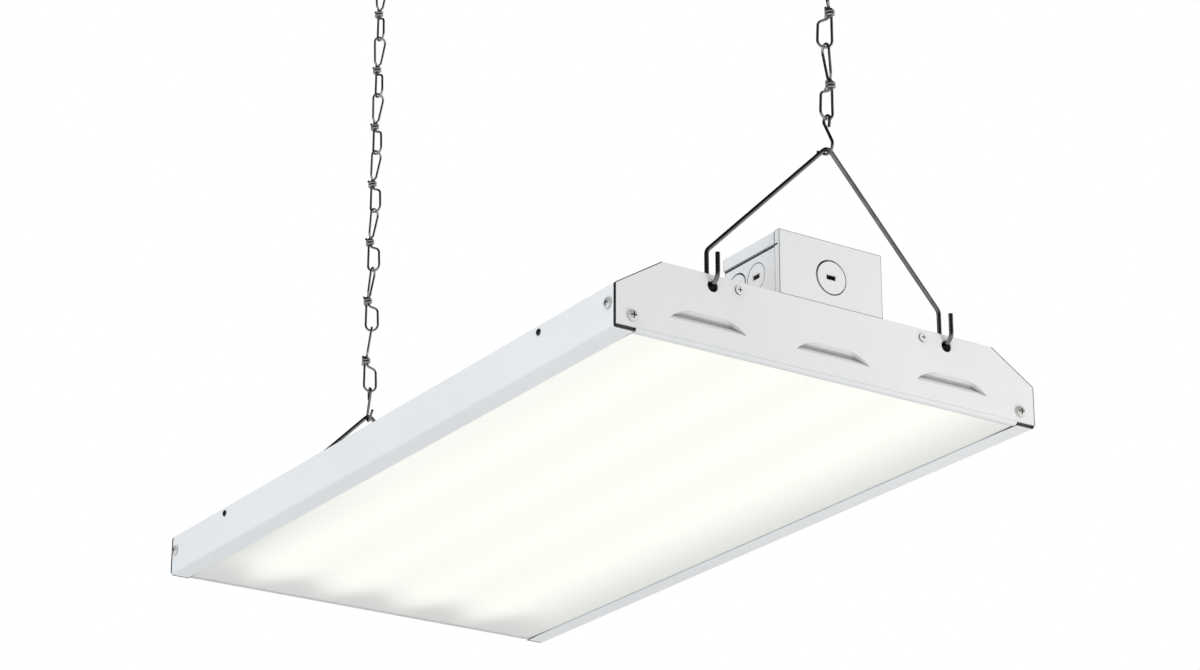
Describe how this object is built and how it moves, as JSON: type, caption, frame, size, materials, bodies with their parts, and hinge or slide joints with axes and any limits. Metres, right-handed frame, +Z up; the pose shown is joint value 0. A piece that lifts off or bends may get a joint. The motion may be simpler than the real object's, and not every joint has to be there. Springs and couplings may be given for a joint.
{
  "type": "led high bay light",
  "caption": "Linear LED high bay light: white sheet-metal body with a frosted lens and a roof wiring box, hung level from ceiling hooks by chains and V-shaped wire hangers.",
  "frame": {"origin": "middle of the four ceiling screw holes, on the ceiling plane", "axes": "+Z up into the ceiling, +X along the light towards its wiring box"},
  "size_m": [0.6282, 0.3348, 0.5824],
  "materials": {
    "white_paint": "satin white powder coat",
    "tray_paint": "gloss white reflector paint",
    "frosted_lens": "frosted, lit from behind in four rows",
    "board_white": "white solder mask on an aluminium core",
    "led_chip": "phosphor yellow",
    "white_nylon": "moulded",
    "black_rubber": "matte",
    "driver_case": "satin case filled with potting",
    "zinc_screw": "zinc plated",
    "painted_screw": "painted over with the body",
    "dark_screw": "black oxide",
    "ground_green": "green insulation and paint",
    "line_black": "black insulation",
    "neutral_white": "white insulation",
    "board_lead_red": "red insulation",
    "splice_plastic": "clear grey",
    "hanger_steel": "bright drawn wire",
    "chain_steel": "bright drawn wire",
    "ceiling_zinc": "zinc plated"
  },
  "bodies": {
    "ceiling_fittings": {"near_ceiling_plate": "ceiling_zinc", "far_ceiling_plate": "ceiling_zinc", "near_ceiling_hook": "ceiling_zinc", "far_ceiling_hook": "ceiling_zinc"},
    "near_top_link": {"near_top_link": "chain_steel"},
    "near_suspension": {"near_chain": "chain_steel", "near_s_hook": "hanger_steel", "near_hanger": "hanger_steel"},
    "light": {"housing": "white_paint", "wiring_box": "white_paint", "knockout_discs": "white_paint", "near_end_plate": "white_paint", "far_end_plate": "white_paint", "gear_tray": "tray_paint", "lens": "frosted_lens", "led_board_1": "board_white", "led_board_2": "board_white", "led_board_3": "board_white", "led_board_4": "board_white", "led_chips_1": "led_chip", "led_chips_2": "led_chip", "led_chips_3": "led_chip", "led_chips_4": "led_chip", "board_plugs": "white_nylon", "wire_bushing": "white_nylon", "tray_grommets": "black_rubber", "driver_1": "driver_case", "driver_2": "driver_case", "corner_screws": "zinc_screw", "side_screws": "zinc_screw", "driver_screws": "zinc_screw", "board_screws": "zinc_screw", "box_rivets": "zinc_screw", "upper_screws": "painted_screw", "tray_screws": "dark_screw", "ground_screw": "ground_green", "ground_lead": "ground_green", "line_leads": "line_black", "neutral_leads": "neutral_white", "board_leads": "board_lead_red", "splice_connectors": "splice_plastic"},
    "box_cover": {"box_cover": "white_paint", "cover_screws": "zinc_screw"},
    "far_top_link": {"far_top_link": "chain_steel"},
    "far_suspension": {"far_chain": "chain_steel", "far_s_hook": "hanger_steel", "far_hanger": "hanger_steel"}
  },
  "joints": [
    {"name": "sway", "type": "hinge", "parent": "ceiling_fittings", "child": "near_top_link", "pos_m": [0.3021, 0, -0.038], "axis": [1, 0, 0], "range_deg": [-25, 25]},
    {"name": "swing", "type": "hinge", "parent": "near_top_link", "child": "near_suspension", "pos_m": [0.3021, 0, -0.08695], "axis": [0, 1, 0], "range_deg": [-20, 20]},
    {"name": "hanger_pivot", "type": "hinge", "parent": "near_suspension", "child": "light", "pos_m": [0.3021, 0, -0.53818], "axis": [0, 1, 0], "range_deg": [-20, 20]},
    {"name": "far_sway", "type": "hinge", "parent": "ceiling_fittings", "child": "far_top_link", "pos_m": [-0.3021, 0, -0.038], "axis": [1, 0, 0], "range_deg": [-25, 25]},
    {"name": "far_swing", "type": "hinge", "parent": "far_top_link", "child": "far_suspension", "pos_m": [-0.3021, 0, -0.08695], "axis": [0, 1, 0], "range_deg": [-20, 20]},
    {"name": "cover_lift", "type": "slide", "parent": "light", "child": "box_cover", "axis": [0, 0, 1], "range_m": [0, 0.014]}
  ],
  "couplings": [
    {"joint": "hanger_pivot", "follows": "swing", "ratio": -1},
    {"joint": "far_swing", "follows": "swing", "ratio": 1},
    {"joint": "far_sway", "follows": "sway", "ratio": 1}
  ]
}
